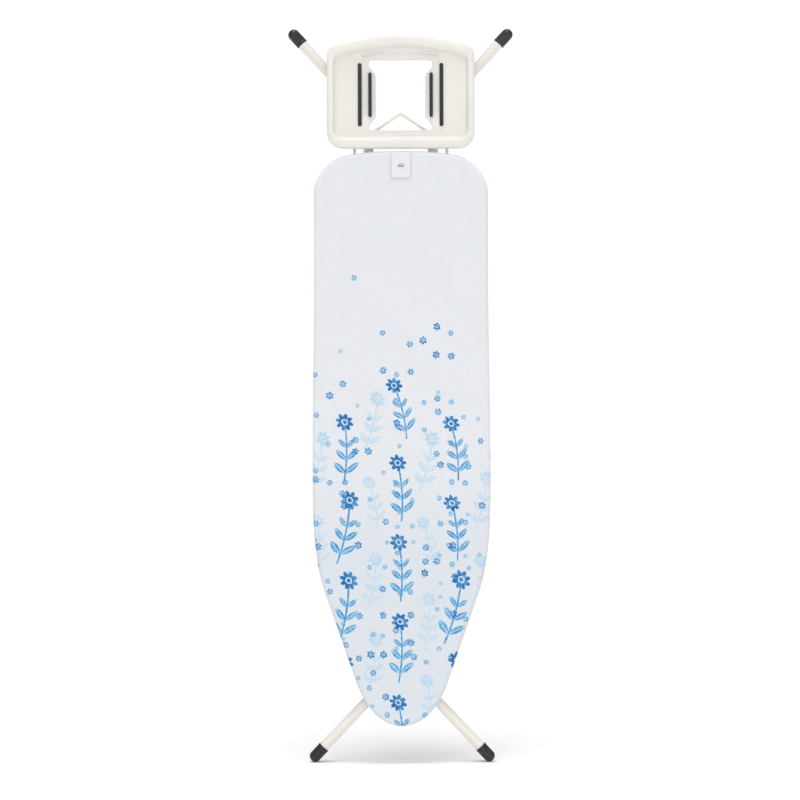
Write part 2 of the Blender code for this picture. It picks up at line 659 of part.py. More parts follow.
def latch_rack(axis):
    """The notched bar that takes the slide bar at each working height."""
    notch = SLIDE_RADIUS + 0.0006
    stops = [HINGE_Z + 2 * (PIVOT_Z - HINGE_Z) * cos(radians(angle)) for angle in HEIGHT_ANGLES]
    outline = [(stops[0] - 0.018, RACK_FRONT), (stops[0] - 0.018, RACK_NOTCH_FLOOR),
               (stops[0] - 0.015, RACK_TOOTH_TOP)]
    for z in stops:
        outline += [(z - notch, RACK_TOOTH_TOP), (z - notch, RACK_NOTCH_FLOOR),
                    (z + notch, RACK_NOTCH_FLOOR), (z + notch, RACK_TOOTH_TOP)]
    tail = RACK_FRONT + 0.004
    outline += [(stops[-1] + 0.015, RACK_TOOTH_TOP), (stops[-1] + 0.030, tail), (1.2165, tail),
                (1.2165, RACK_FRONT)]
    rack = prism("X", outline, -RACK_HALF_WIDTH, RACK_HALF_WIDTH)
    make_object("latch_rack", rack, "zinc", axis)
    turns, steps, radius, wire = 4, 10, 0.0055, 0.0007
    low, high = DECK_BACK + wire + GAP, RACK_FRONT - wire - GAP
    points = []
    for k in range(turns * steps + 1):
        angle = 2 * pi * k / steps
        depth = low + (high - low) * k / (turns * steps)
        points.append(at(radius * cos(angle), depth, 1.090 + radius * sin(angle)))
    make_object("latch_spring", coil(points, wire), "zinc", axis)


def coil(points, radius, sides=6):
    """A round wire along a helix whose axis is Y."""
    rings = []
    middle_x = sum(point.x for point in points[:-1]) / (len(points) - 1)
    middle_z = sum(point.z for point in points[:-1]) / (len(points) - 1)
    for point in points:
        out = Vector((point.x - middle_x, 0, point.z - middle_z)).normalized()
        turns = [2 * pi * k / sides for k in range(sides)]
        rings.append([point + radius * (cos(a) * out + sin(a) * Y_AXIS) for a in turns])
    return loft(rings)


def release_lever(axis):
    """The wire handle, its shaft and the finger that lifts the rack."""
    path = [at(-0.052, LEVER_DEPTH, LEVER_Z), at(0.052, LEVER_DEPTH, LEVER_Z)]
    make_object("lever_shaft", rod(path, LEVER_RADIUS), "zinc", axis)
    low, high, x = LEVER_Z + LEVER_RADIUS + GAP, LEVER_Z + 0.088, 0.032
    corners = [(-x, low), (-x, high), (x, high), (x, low)]
    make_object("lever_loop", rod(bent_path(corners, 0.010, LEVER_DEPTH), LEVER_RADIUS), "zinc",
                axis)
    finger = rectangle(low, LEVER_DEPTH - 0.003, LEVER_Z + 0.019, LEVER_DEPTH + 0.003)
    make_object("lever_finger", prism("X", finger, -0.006, 0.006), "zinc", axis)
    grip = 0.020
    bore = LEVER_RADIUS + GAP
    profile = [(-grip, bore), (-grip, 0.0058), (-grip + 0.002, 0.0068), (grip - 0.002, 0.0068),
               (grip, 0.0058), (grip, bore)]
    make_object("lever_grip",
                turned(at(0, LEVER_DEPTH, high), Vector((1, 0, 0)), profile, 14, closed=True),
                "lever_plastic", axis)


def lever_blocks():
    front = DECK_BACK + 0.0042 + GAP
    for side, name in ((-1, "left"), (1, "right")):
        ends = sorted((side * 0.038, side * 0.050))
        outline = rectangle(LEVER_Z - 0.008, front, LEVER_Z + 0.008, LEVER_DEPTH + 0.006)
        block = make_object(f"lever_block_{name}", prism("X", outline, *ends), "nylon")
        start = at(0.036 if side == 1 else -0.052, LEVER_DEPTH, LEVER_Z)
        bore = LEVER_RADIUS + GAP
        profile = [(0, 0), (0, bore), (0.016, bore), (0.016, 0)]
        cut(block, f"lever_bore_{name}", turned(start, Vector((1, 0, 0)), profile, 12))


def transport_hook(axis):
    """The hook that holds the slide bar when folded; at rest it is swung clear."""
    bar = Vector((SLIDE_Z - HOOK_Z, LEG_DEPTH - HOOK_DEPTH))
    hold = SLIDE_RADIUS + 0.0008
    eye = 0.007
    outline = [(eye * cos(radians(a)), eye * sin(radians(a))) for a in range(-150, 91, 40)]
    outline += [
        (bar.x + 0.012, bar.y + hold + 0.005), (bar.x - hold - 0.002, bar.y + hold + 0.005),
        (bar.x - hold - 0.0045, bar.y + hold), (bar.x - hold - 0.0045, bar.y - 0.004),
        (bar.x - hold, bar.y - 0.002), (bar.x - hold, bar.y + hold - 0.001),
        (bar.x - hold + 0.001, bar.y + hold), (bar.x + 0.010, bar.y + hold),
    ]
    turned_back = []
    for z, depth in outline:
        swung_z = z * cos(HOOK_SWING) + depth * sin(HOOK_SWING)
        swung_depth = depth * cos(HOOK_SWING) - z * sin(HOOK_SWING)
        turned_back.append((HOOK_Z + swung_z, HOOK_DEPTH + swung_depth))
    hook = make_object("transport_hook",
                       prism("X", turned_back, HOOK_X, HOOK_X + HOOK_THICKNESS), "zinc", axis)
    start = at(HOOK_X - 0.002, HOOK_DEPTH, HOOK_Z)
    bore = [(-0.002, 0), (-0.002, 0.0033), (0.008, 0.0033), (0.008, 0)]
    cut(hook, "hook_bore", turned(start, Vector((1, 0, 0)), bore, 12))
    wall = RAIL_X + RAIL_WALL + GAP - (HOOK_X - 0.002)
    pin = [(0, 0), (0, 0.003), (wall, 0.003), (wall, 0.005), (wall + 0.002, 0.005),
           (wall + 0.002, 0)]
    make_object("hook_pin", turned(start, Vector((1, 0, 0)), pin, 12), "zinc")


# ---- Build --------------------------------------------------------------------------
def build():
    clear_scene()
    outer_axis = pivot_empty("outer_leg_axis", at(0, LEG_DEPTH, HINGE_Z))
    inner_axis = pivot_empty("inner_leg_axis", at(0, LEG_DEPTH, PIVOT_Z))
    lever_axis = pivot_empty("lever_axis", at(0, LEVER_DEPTH, LEVER_Z))
    rack_axis = pivot_empty("rack_axis", at(0, RACK_FRONT, LEVER_Z))
    hook_axis = pivot_empty("hook_axis", at(0, HOOK_DEPTH, HOOK_Z))
    bpy.context.view_layer.update()
    deck_plates()
    cover()
    care_label()
    cross_braces()
    hinge_mounts()
    guide_rails()
    lever_blocks()
    iron_rest()
    wire_frame()
    wire_fasteners()
    outer_leg(outer_axis)
    inner_leg(inner_axis)
    latch_rack(rack_axis)
    release_lever(lever_axis)
    transport_hook(hook_axis)


build()
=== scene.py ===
"""Looks of the folding ironing board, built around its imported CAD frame.

Metres, +Z up, X across the board. The ironing face looks to -Y and the legs lie behind it.
Depths are measured from the front of the iron rest's rim towards the legs.
"""
import json
from math import atan2, cos, degrees, pi, radians, sin, sqrt

import bmesh
import bpy
import numpy as np
from mathutils import Matrix, Vector, noise

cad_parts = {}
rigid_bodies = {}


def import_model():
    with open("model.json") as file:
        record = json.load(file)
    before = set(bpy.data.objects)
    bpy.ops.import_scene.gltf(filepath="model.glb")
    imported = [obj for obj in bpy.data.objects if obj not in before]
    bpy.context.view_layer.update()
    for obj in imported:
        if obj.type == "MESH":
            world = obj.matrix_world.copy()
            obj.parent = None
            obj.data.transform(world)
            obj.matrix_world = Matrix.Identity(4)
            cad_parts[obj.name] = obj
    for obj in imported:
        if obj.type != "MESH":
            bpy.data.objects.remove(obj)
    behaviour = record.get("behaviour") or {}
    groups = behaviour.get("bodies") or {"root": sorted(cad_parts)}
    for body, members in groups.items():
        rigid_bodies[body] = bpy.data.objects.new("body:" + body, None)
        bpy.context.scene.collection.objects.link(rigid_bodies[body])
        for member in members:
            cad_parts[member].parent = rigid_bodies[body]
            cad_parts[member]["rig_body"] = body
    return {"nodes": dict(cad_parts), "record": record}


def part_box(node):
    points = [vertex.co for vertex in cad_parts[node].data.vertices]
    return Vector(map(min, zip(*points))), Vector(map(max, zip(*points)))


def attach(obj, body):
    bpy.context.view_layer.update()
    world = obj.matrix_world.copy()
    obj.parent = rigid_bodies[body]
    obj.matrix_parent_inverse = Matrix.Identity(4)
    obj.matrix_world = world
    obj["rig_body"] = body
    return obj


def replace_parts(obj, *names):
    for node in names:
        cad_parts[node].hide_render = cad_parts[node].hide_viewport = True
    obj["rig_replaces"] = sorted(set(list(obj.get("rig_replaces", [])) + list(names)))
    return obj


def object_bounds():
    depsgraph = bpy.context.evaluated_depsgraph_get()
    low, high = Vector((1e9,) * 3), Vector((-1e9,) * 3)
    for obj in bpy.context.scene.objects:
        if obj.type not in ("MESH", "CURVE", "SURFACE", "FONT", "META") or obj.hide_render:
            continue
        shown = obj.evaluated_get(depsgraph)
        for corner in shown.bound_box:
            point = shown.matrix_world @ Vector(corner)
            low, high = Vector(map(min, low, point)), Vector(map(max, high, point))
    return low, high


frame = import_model()
cad_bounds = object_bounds()

# ---- Places read from the frame -----------------------------------------------------
COVER_LOW, COVER_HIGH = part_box("ironing_cover")
TRAY_LOW, TRAY_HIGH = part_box("iron_rest_tray")
FRONT_Y = TRAY_LOW.y
NOSE_Z = COVER_LOW.z
BOARD_LENGTH = COVER_HIGH.z - COVER_LOW.z
BOARD_HALF = COVER_HIGH.x
COVER_FRONT = COVER_LOW.y - FRONT_Y
COVER_BACK = COVER_HIGH.y - FRONT_Y
LEG_Y = sum(corner.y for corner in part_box("slide_bar")) / 2
WIRE_Y = sum(corner.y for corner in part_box("rest_wire_frame")) / 2
Y_AXIS = Vector((0, 1, 0))


def at(x, depth, z):
    """A point at a depth behind the front of the rest's rim."""
    return Vector((x, FRONT_Y + depth, z))


# ---- Shader graphs ------------------------------------------------------------------
def linear(red, green, blue):
    """An sRGB colour of 0 to 255 as the linear colour that shaders use."""
    shares = [value / 255 for value in (red, green, blue)]
    return tuple(s / 12.92 if s <= 0.04045 else ((s + 0.055) / 1.055) ** 2.4 for s in shares)


class Graph:
    """A material's node tree, with short ways to add nodes."""

    def __init__(self, name):
        self.material = bpy.data.materials.new(name)
        self.material.use_nodes = True
        self.tree = self.material.node_tree
        self.shader = self.tree.nodes["Principled BSDF"]
        self.place = self.tree.nodes.new("ShaderNodeTexCoord").outputs["Object"]

    def set(self, socket, value):
        if isinstance(value, Field):
            value = value.socket
        if isinstance(value, bpy.types.NodeSocket):
            self.tree.links.new(value, socket)
        else:
            socket.default_value = value

    def add(self, kind, settings=None, inputs=None):
        node = self.tree.nodes.new(kind)
        for key, value in (settings or {}).items():
            setattr(node, key, value)
        for key, value in (inputs or {}).items():
            self.set(node.inputs[key], value)
        return node

    def math(self, operation, *values):
        node = self.add("ShaderNodeMath", {"operation": operation})
        for socket, value in zip(node.inputs, values):
            self.set(socket, value)
        return Field(self, node.outputs[0])

    def axes(self):
        """The place's x, y and z."""
        node = self.add("ShaderNodeSeparateXYZ", inputs={"Vector": self.place})
        return [Field(self, output) for output in node.outputs]

    def vector(self, x, y, z):
        return self.add("ShaderNodeCombineXYZ", inputs={"X": x, "Y": y, "Z": z}).outputs[0]

    def noise(self, scale, detail=2.0, vector=None, roughness=0.5, output=0):
        """Fractal noise around 0.5; its output 1 is a colour."""
        inputs = {"Vector": vector or self.place, "Scale": scale, "Detail": detail,
                  "Roughness": roughness}
        made = self.add("ShaderNodeTexNoise", inputs=inputs).outputs[output]
        return Field(self, made) if output == 0 else made

    def random(self, value):
        """Two numbers from 0 to 1 for each value."""
        node = self.add("ShaderNodeTexWhiteNoise", {"noise_dimensions": "1D"}, {"W": value})
        parts = self.add("ShaderNodeSeparateColor", inputs={"Color": node.outputs["Color"]})
        return Field(self, parts.outputs[0]), Field(self, parts.outputs[1])

    def smooth(self, value, low, high):
        """0 at low, 1 at high and smooth between them; low may be above high."""
        inputs = {"Value": value, "From Min": low, "From Max": high}
        node = self.add("ShaderNodeMapRange", {"interpolation_type": "SMOOTHSTEP"}, inputs)
        return Field(self, node.outputs[0])

    def mix(self, share, first, second, blend="MIX"):
        node = self.add("ShaderNodeMix", {"data_type": "RGBA", "blend_type": blend})
        self.set(node.inputs[0], share)
        for socket, colour in ((node.inputs[6], first), (node.inputs[7], second)):
            self.set(socket, (*colour, 1.0) if isinstance(colour, tuple) else colour)
        return node.outputs[2]

    def bump(self, height, distance, strength=1.0, normal=None):
        inputs = {"Height": height, "Distance": distance, "Strength": strength}
        if normal is not None:
            inputs["Normal"] = normal
        return self.add("ShaderNodeBump", inputs=inputs).outputs[0]

    def finish(self, **values):
        for key, value in values.items():
            self.set(self.shader.inputs[key.replace("_", " ")], value)
        return self.material


class Field:
    """One value of a graph. Arithmetic on it adds math nodes."""

    def __init__(self, graph, socket):
        self.graph = graph
        self.socket = socket

    def __add__(self, other):
        return self.graph.math("ADD", self, other)

    def __sub__(self, other):
        return self.graph.math("SUBTRACT", self, other)

    def __rsub__(self, other):
        return self.graph.math("SUBTRACT", other, self)

    def __mul__(self, other):
        return self.graph.math("MULTIPLY", self, other)

    def __truediv__(self, other):
        return self.graph.math("DIVIDE", self, other)

    def __abs__(self):
        return self.graph.math("ABSOLUTE", self)

    __radd__ = __add__
    __rmul__ = __mul__

    def sin(self):
        return self.graph.math("SINE", self)

    def cos(self):
        return self.graph.math("COSINE", self)

    def sqrt(self):
        return self.graph.math("SQRT", self)

    def round(self):
        return self.graph.math("ROUND", self)

    def atan2(self, other):
        return self.graph.math("ARCTAN2", self, other)

    def max(self, other):
        return self.graph.math("MAXIMUM", self, other)

    def below(self, other):
        return self.graph.math("LESS_THAN", self, other)


# ---- The cover's print --------------------------------------------------------------
PAPER = linear(224, 226, 230)
LOW_PAPER = linear(216, 221, 227)
PALE_INK = linear(172, 208, 231)
MID_INK = linear(98, 165, 212)
DEEP_INK = linear(34, 98, 162)
CELL_WIDE, CELL_TALL = 0.118, 0.172     # one repeat of the print
THINNING = 0.34                         # height over which the sprigs give out


def wander(graph, scale, amount):
    """Two offsets that drift slowly over the cloth."""
    drift = graph.noise(scale, 2.0, output=1)
    parts = graph.add("ShaderNodeSeparateColor", inputs={"Color": drift})
    return [(Field(graph, parts.outputs[k]) - 0.5) * amount for k in (0, 1)]


def repeat_cell(graph, x, h, seed):
    """A half-drop repeat: offset from the cell's middle, the middle's height, two numbers."""
    column = (x / CELL_WIDE).round()
    drop = abs((column * (pi / 2)).sin()) * 0.5
    row = (h / CELL_TALL + drop).round()
    level = (row - drop) * CELL_TALL
    first, second = graph.random(column * 17.0 + row * 3.7 + seed)
    return x - column * CELL_WIDE, h - level, level, first, second


def petals(graph, dx, dz, radius, count, turn):
    """A plain round flower with an even number of petals and a clear ring at its middle."""
    away = (dx * dx + dz * dz).sqrt()
    around = dx.atan2(dz)
    edge = radius * (0.58 + 0.42 * abs((around * (count / 2) + turn).cos()))
    ring = graph.smooth(abs(away - radius * 0.26), radius * 0.10, radius * 0.04)
    return graph.smooth(away, edge, edge * 0.80) * (1.0 - 0.75 * ring)


def leaf(graph, across, up, foot, length, width, lean):
    """A pointed leaf that rises from its foot, with a clear rib."""
    along = (across * sin(lean) + (up - foot) * cos(lean)) / length
    aside = abs(across * cos(lean) - (up - foot) * sin(lean))
    half = (along * (1.0 - along)).max(0.0) * (4.0 * width)
    rib = graph.smooth(aside, width * 0.22, width * 0.08)
    inside = graph.smooth(along, 0.0, 0.04) * graph.smooth(along, 1.0, 0.96)
    return graph.smooth(aside - half, width * 0.15, -0.15 * width) * inside * (1.0 - 0.55 * rib)


def sprig(graph, dx, dz, size, first, second):
    """One leafy stalk with a flower at its top, leaning its own way."""
    lean = (first - 0.5) * 0.55
    across = (dx * lean.cos() - dz * lean.sin()) / size
    up = (dx * lean.sin() + dz * lean.cos()) / size
    across = across + 0.10 * up * up
    stalk = graph.smooth(abs(across), 0.032, 0.016)
    stalk = stalk * graph.smooth(up, -1.0, -0.94) * graph.smooth(up, 0.62, 0.56)
    ink = stalk * 0.80
    pairs = ((-0.72, 0.46, 0.085, 0.85), (-0.36, 0.42, 0.075, 0.80), (-0.02, 0.34, 0.060, 0.75))
    for foot, length, width, angle in pairs:
        ink = ink.max(leaf(graph, abs(across), up, foot, length, width, angle) * 0.74)
    return ink.max(petals(graph, across, up - 0.68, 0.27, 8, second * 3.0) * 0.98)


def loose_flowers(graph, x, z, scale, seed, size, most):
    """Tiny flowers in some cells of a jittered grid, fewer towards the square end."""
    where = graph.vector(x + seed, z - seed, 0.0)
    settings = {"voronoi_dimensions": "2D", "feature": "F1"}
    cell = graph.add("ShaderNodeTexVoronoi", settings,
                     {"Vector": where, "Scale": scale, "Randomness": 0.85})
    chance = graph.add("ShaderNodeSeparateColor", inputs={"Color": cell.outputs["Color"]})
    pick, turn = [Field(graph, chance.outputs[k]) for k in (0, 1)]
    away = graph.add("ShaderNodeVectorMath", {"operation": "SUBTRACT"},
                     {0: where, 1: cell.outputs["Position"]})
    apart = graph.add("ShaderNodeSeparateXYZ", inputs={"Vector": away.outputs[0]})
    dx, dz = [Field(graph, apart.outputs[k]) for k in (0, 1)]
    density = graph.smooth(z - dz, 1.05, 0.45) * most
    flower = petals(graph, dx, dz, size * (0.65 + 0.55 * turn), 6, turn * 3.0)
    return flower * pick.below(density) * (0.55 + 0.45 * turn)


def printed_colour(graph):
    """Blue sprigs in a half-drop repeat, thinning out from the nose to the square end."""
    x0, _, z0 = graph.axes()
    h0 = z0 - NOSE_Z
    fray_x, fray_z = wander(graph, 240.0, 0.0024)
    x, h = x0 + fray_x, h0 + fray_z
    grain = graph.smooth(graph.noise(330.0, 3.0), 0.36, 0.60)
    cloudy = graph.smooth(graph.noise(60.0, 3.0), 0.34, 0.66)

    # A sharp layer and a paler one between it: shifts, size, seed and where the sprigs end
    layers = ((0.0, 0.0, 0.081, 5.0, 0.98), (CELL_WIDE / 2, 0.030, 0.066, 31.0, 0.90))
    drawn = []
    for shift_x, shift_h, size, seed, end in layers:
        dx, dz, level, first, second = repeat_cell(graph, x + shift_x, h + shift_h, seed)
        shown = first.below(graph.smooth(level, end, end - THINNING))
        drawn.append(sprig(graph, dx, dz, size * (0.88 + 0.20 * second), second, first) * shown)
    ink, shadow = drawn
    ink = ink.max(loose_flowers(graph, x, h, 34.0, 0.013, 0.0085, 0.42) * 0.9)
    ink = ink * (0.66 + 0.30 * grain + 0.20 * cloudy)
    shadow = shadow * (0.55 + 0.45 * cloudy)

    # The ground turns darker and bluer below 0.62 m from the nose
    towards_nose = graph.smooth(h0, 0.62, 0.30)
    colour = graph.mix(towards_nose, PAPER, LOW_PAPER)
    colour = graph.mix(shadow * 0.95, colour, PALE_INK)
    colour = graph.mix(graph.smooth(ink, 0.02, 0.40) * 0.92, colour, PALE_INK)
    colour = graph.mix(graph.smooth(ink, 0.25, 0.72), colour, MID_INK)
    return graph.mix(graph.smooth(ink, 0.62, 1.05), colour, DEEP_INK)


# ---- Finishes -----------------------------------------------------------------------
THREAD_PITCH = 0.0011


def weave(graph):
    """Height of a plain weave: threads along X and Z that pass over each other."""
    x, _, z = graph.axes()
    return (x * (pi / THREAD_PITCH)).sin() * (z * (pi / THREAD_PITCH)).sin()


def cotton(name, printed):
    """Plain-woven cotton with slubs and soft creases."""
    graph = Graph(name)
    x, y, z = graph.axes()
    slub = graph.noise(1.0, 3.0, graph.vector(x * 60.0, y * 60.0, z * 900.0))
    slub_up = graph.noise(1.0, 3.0, graph.vector(x * 900.0, y * 60.0, z * 60.0))
    threads = (slub + slub_up) * 0.5
    ground = printed_colour(graph) if printed else PAPER
    shade = graph.smooth(threads, 0.30, 0.70)
    colour = graph.mix(0.10 * shade, ground, linear(205, 211, 220), "MULTIPLY")
    height = weave(graph) * 0.25 + threads
    crease = graph.noise(7.0, 2.0)
    normal = graph.bump(crease, 0.004, 0.25)
    normal = graph.bump(height, 0.00025, 0.5, normal)
    rough = 0.80 + 0.14 * threads
    return graph.finish(Base_Color=colour, Roughness=rough, Normal=normal, Sheen_Weight=0.15,
                        Sheen_Roughness=0.5, Specular_IOR_Level=0.25)


def surface(name, colour, roughness, grain, depth, tint=None, metallic=0.0, mottle=0.25,
            coat=0.0):
    """A moulded, coated or plated surface: fine grain, mottled tint, uneven gloss."""
    graph = Graph(name)
    base = linear(*colour)
    tint = linear(*tint) if tint else tuple(value * 0.86 for value in base)
    patches = graph.smooth(graph.noise(14.0, 4.0), 0.35, 0.70)
    fine = graph.noise(grain, 3.0)
    colour = graph.mix(patches * mottle, base, tint)
    gloss = roughness * (0.84 + 0.20 * patches) + 0.12 * (fine - 0.5)
    normal = graph.bump(fine, depth)
    return graph.finish(Base_Color=colour, Roughness=gloss, Normal=normal, Metallic=metallic,
                        Coat_Weight=coat, Coat_Roughness=0.25)


def zinc(name):
    """Zinc plate: pale blue-grey metal with a drawn grain and faint spangle."""
    graph = Graph(name)
    x, y, z = graph.axes()
    drawn = graph.noise(1.0, 3.0, graph.vector(x * 900.0, y * 900.0, z * 40.0))
    spangle = graph.add("ShaderNodeTexVoronoi", inputs={"Vector": graph.place, "Scale": 160.0})
    flake = Field(graph, spangle.outputs["Distance"])
    colour = graph.mix(graph.smooth(flake, 0.1, 0.7) * 0.4, linear(196, 199, 203),
                       linear(164, 169, 176))
    rough = 0.24 + 0.16 * drawn + 0.10 * flake
    return graph.finish(Base_Color=colour, Roughness=rough, Metallic=1.0,
                        Normal=graph.bump(drawn, 0.00005))


def label_cloth(name, centre, width, height):
    """A white woven tag with a small grey flat-iron sign and a stitched edge."""
    graph = Graph(name)
    x, _, z = graph.axes()
    u = (x - centre.x) / width
    v = (z - centre.z) / height
    ribs = (z * 5200.0).sin() * 0.5 + 0.5
    dash = graph.smooth((x * 2600.0).sin() * (z * 2600.0).cos(), -0.2, 0.3)
    edge = abs(u).max(abs(v))
    stitch = graph.smooth(abs(edge - 0.455), 0.012, 0.004) * dash
    sole = graph.smooth(abs(v + 0.05), 0.040, 0.030) * graph.smooth(abs(u + 0.01), 0.165, 0.155)
    body = graph.smooth(abs(v - 0.02), 0.055, 0.045) * graph.smooth(
        abs(u - 0.03) + (v - 0.02) * 1.1, 0.125, 0.110)
    hollow = graph.smooth(abs(v - 0.025), 0.026, 0.018) * graph.smooth(abs(u - 0.045), 0.060,
                                                                       0.050)
    sign = sole.max(body - hollow)
    colour = graph.mix(ribs * 0.12, linear(229, 229, 233), linear(200, 203, 211))
    colour = graph.mix(sign * 0.8, colour, linear(128, 138, 152))
    colour = graph.mix(stitch * 0.5, colour, linear(200, 203, 212))
    return graph.finish(Base_Color=colour, Roughness=0.6 + 0.2 * ribs,
                        Normal=graph.bump(ribs + stitch, 0.0002, 0.6), Sheen_Weight=0.2)


FINISHES = {
    "cotton_cover": cotton("printed_cotton", True),
    "cotton_hem": cotton("hem_cotton", False),
    "foam": surface("needled_felt", (214, 212, 206), 0.95, 700.0, 0.0006, mottle=0.5),
    "deck_steel": surface("grey_powder_coat", (176, 178, 178), 0.45, 900.0, 0.00006),
    "ivory_coat": surface("ivory_powder_coat", (231, 227, 218), 0.36, 750.0, 0.00005, coat=0.15),
    "ivory_plastic": surface("ivory_moulding", (231, 228, 222), 0.48, 1500.0, 0.00005),
    "silicone": surface("black_silicone", (30, 29, 28), 0.62, 1300.0, 0.00008,
                        tint=(42, 41, 40), mottle=0.6),
    "foot_plastic": surface("slate_rubber", (27, 29, 33), 0.38, 1200.0, 0.0001,
                            tint=(24, 26, 29), mottle=0.7),
    "zinc_steel": zinc("zinc_plate"),
    "nylon": surface("natural_nylon", (222, 220, 212), 0.42, 1000.0, 0.00004),
    "lever_plastic": surface("dark_grip", (58, 62, 68), 0.45, 1400.0, 0.00008, mottle=0.5),
}


# ---- Mesh helpers -------------------------------------------------------------------
def add_piece(name, points, faces, slot, body="deck", finish=None, sharp=radians(40)):
    """A shaded mesh that rides on a body and takes its finish from a slot."""
    mesh = bpy.data.meshes.new(name)
    mesh.from_pydata([tuple(point) for point in points], [], faces)
    shape = bmesh.new()
    shape.from_mesh(mesh)
    bmesh.ops.remove_doubles(shape, verts=shape.verts, dist=0.00002)
    bmesh.ops.recalc_face_normals(shape, faces=shape.faces)
    shape.to_mesh(mesh)
    shape.free()
    mesh.shade_smooth()
    mesh.set_sharp_from_angle(angle=sharp)
    mesh.materials.append(FINISHES[finish or slot])
    piece = bpy.data.objects.new(name, mesh)
    bpy.context.scene.collection.objects.link(piece)
    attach(piece, body)
    return piece


def loft_faces(rings, count, closed=False, start=0):
    """Quads between rings of count points each."""
    faces = []
    for ring in range(rings if closed else rings - 1):
        following = (ring + 1) % rings
        for i in range(count):
            j = (i + 1) % count
            faces.append((start + ring * count + i, start + ring * count + j,
                          start + following * count + j, start + following * count + i))
    return faces


def loft(rings, closed=False, capped=False):
    """Points and faces of rings of equal length joined in order."""
    count = len(rings[0])
    points = [point for ring in rings for point in ring]
    faces = loft_faces(len(rings), count, closed)
    if capped:
        faces.append(tuple(range(count)))
        faces.append(tuple(range(len(points) - count, len(points))))
    return points, faces


def rod_rings(path, radii, sides):
    """Rings of points round a path that lies at one depth."""
    rings = []
    for i, point in enumerate(path):
        along = (path[min(i + 1, len(path) - 1)] - path[max(i - 1, 0)]).normalized()
        across = Y_AXIS.cross(along)
        turns = [2 * pi * k / sides for k in range(sides)]
        rings.append([point + radii[i] * (cos(a) * across + sin(a) * Y_AXIS) for a in turns])
    return rings


def wire(path, radius, sides=20):
    """A solid wire whose cut ends are slightly rounded."""
    along = (path[1] - path[0]).normalized()
    ending = (path[-2] - path[-1]).normalized()
    ease = radius * 0.3
    full = [path[0], path[0] + along * ease, *path[1:-1], path[-1] + ending * ease, path[-1]]
    radii = [radius * 0.7] + [radius] * (len(full) - 2) + [radius * 0.7]
    return loft(rod_rings(full, radii, sides), capped=True)


def tube(path, radius, wall, sides=36):
    """An open tube with a wall."""
    outside = rod_rings(path, [radius] * len(path), sides)
    inside = rod_rings(path, [radius - wall] * len(path), sides)
    return loft(outside + inside[::-1], closed=True)


def bent_path(corners, bend_radius, y, steps=16):
    """Points (x, z) of a bent rod at one depth, each inner corner turned into an arc."""
    flat = [Vector(corner) for corner in corners]
    points = [flat[0]]
    for before, corner, after in zip(flat, flat[1:], flat[2:]):
        coming = (corner - before).normalized()
        going = (after - corner).normalized()
        turn = coming.angle_signed(going)
        setback = bend_radius * abs(sin(turn / 2) / cos(turn / 2))
        centre = corner + (going - coming).normalized() * bend_radius / cos(turn / 2)
        start = corner - coming * setback
        for k in range(steps + 1):
            swing = Matrix.Rotation(-turn * k / steps, 2)
            points.append(centre + swing @ (start - centre))
    points.append(flat[-1])
    return [Vector((point.x, y, point.y)) for point in points]


def turned(start, direction, profile, sides=40, flutes=0, flute_depth=0.0):
    """A turned piece from (distance along, radius, share of the flutes)."""
    direction = direction.normalized()
    helper = Vector((0, 0, 1)) if abs(direction.z) < 0.9 else Vector((1, 0, 0))
    across = direction.cross(helper).normalized()
    beyond = direction.cross(across)
    rings = []
    for along, radius, share in profile:
        ring = []
        for k in range(sides):
            a = 2 * pi * k / sides
            r = max(radius, 0.00003) - flute_depth * share * (0.5 + 0.5 * cos(flutes * a))
            ring.append(start + direction * along + r * (cos(a) * across + sin(a) * beyond))
        rings.append(ring)
    return loft(rings, capped=True)


def arc(centre_x, centre_z, radius, first, last, steps):
    """Points of an arc; the angles are in degrees from +X towards +Z."""
    turns = [radians(first + (last - first) * k / steps) for k in range(steps + 1)]
    return [Vector((centre_x + radius * cos(a), centre_z + radius * sin(a))) for a in turns]


def resample(outline, count):
    """The same closed outline with evenly spaced points."""
    closed = np.array([tuple(point) for point in outline] + [tuple(outline[0])])
    along = np.concatenate([[0], np.cumsum(np.linalg.norm(np.diff(closed, axis=0), axis=1))])
    where = np.linspace(0, along[-1], count, endpoint=False)
    return [Vector((np.interp(s, along, closed[:, 0]), np.interp(s, along, closed[:, 1])))
            for s in where]


def inset(outline, distance):
    """Move every side of a counterclockwise outline inwards."""
    moved = []
    count = len(outline)
    for i, point in enumerate(outline):
        before = (point - outline[i - 1]).normalized()
        after = (outline[(i + 1) % count] - point).normalized()
        inward = Vector((-before.y - after.y, before.x + after.x)).normalized()
        moved.append(point + inward * distance)
    return moved


# ---- Board outline, as the CAD draws it ---------------------------------------------
SIDE = BOARD_HALF
TOP_SIDE = 0.1877
NOSE = ((0, 0), (0.050, 0), (0.0800, 0.0474), (0.0960, 0.0874))
SHOULDER = ((0.1680, 0.2944), (0.1866, 0.3544), (SIDE, 0.42), (SIDE, 0.53))
FLANK = ((SIDE, 0.53), (SIDE, 0.72), (TOP_SIDE, 0.80), (TOP_SIDE, 0.98))
CORNER = ((TOP_SIDE, 1.150), (TOP_SIDE, 1.188), (0.155, 1.220), (0.124, 1.2295))
TOP_EDGE = ((0.124, 1.2295), (0.090, 1.2365), (0.045, BOARD_LENGTH), (0, BOARD_LENGTH))
OUTLINE_POINTS = 320


def bezier(controls, steps=24):
    """Points of a cubic curve."""
    a, b, c, d = [Vector(control) for control in controls]
    points = []
    for k in range(steps + 1):
        t = k / steps
        u = 1 - t
        points.append(u**3 * a + 3 * u * u * t * b + 3 * u * t * t * c + t**3 * d)
    return points


